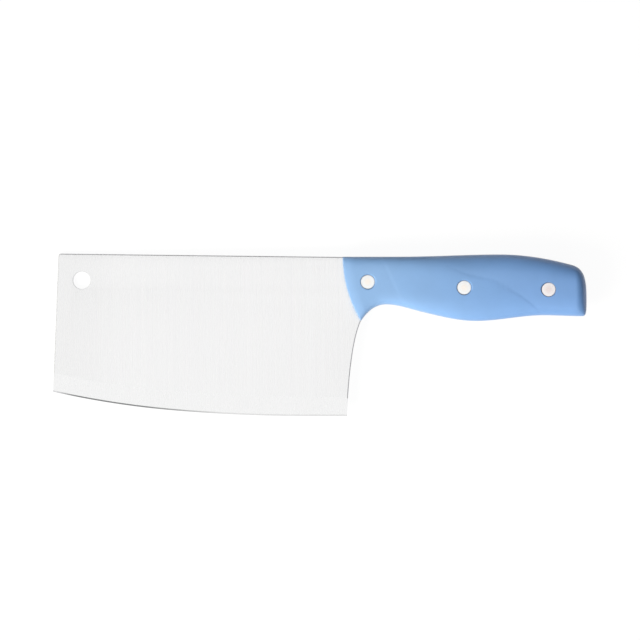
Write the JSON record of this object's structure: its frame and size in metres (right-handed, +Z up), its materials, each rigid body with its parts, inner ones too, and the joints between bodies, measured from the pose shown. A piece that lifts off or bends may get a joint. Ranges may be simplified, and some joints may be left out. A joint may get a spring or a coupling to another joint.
{
  "type": "butcher knife",
  "caption": "Square-nosed butcher knife with a full-tang ground steel blade, a hang hole, a swept edge and a riveted moulded plastic handle with a finger groove.",
  "frame": {"origin": "middle of the knife's box in length and depth, on the surface that it lies on", "axes": "the knife lies on its side: +X from the nose of the blade to the butt of the handle, +Y from the cutting edge to the spine, +Z up through its thickness, towards the side that the picture shows"},
  "size_m": [0.3002, 0.0916, 0.0189],
  "materials": {
    "blade_steel": "stainless sheet, satin lines from spine to edge, ground and honed bevel",
    "handle_plastic": "injection-moulded light blue plastic, smooth, semi-gloss",
    "rivet_metal": "bright turned aluminium heads"
  },
  "bodies": {
    "root": {"blade": "blade_steel", "left_scale": "handle_plastic", "right_scale": "handle_plastic", "front_rivet_post": "rivet_metal", "front_rivet_socket": "rivet_metal", "middle_rivet_post": "rivet_metal", "middle_rivet_socket": "rivet_metal", "rear_rivet_post": "rivet_metal", "rear_rivet_socket": "rivet_metal"}
  },
  "joints": []
}
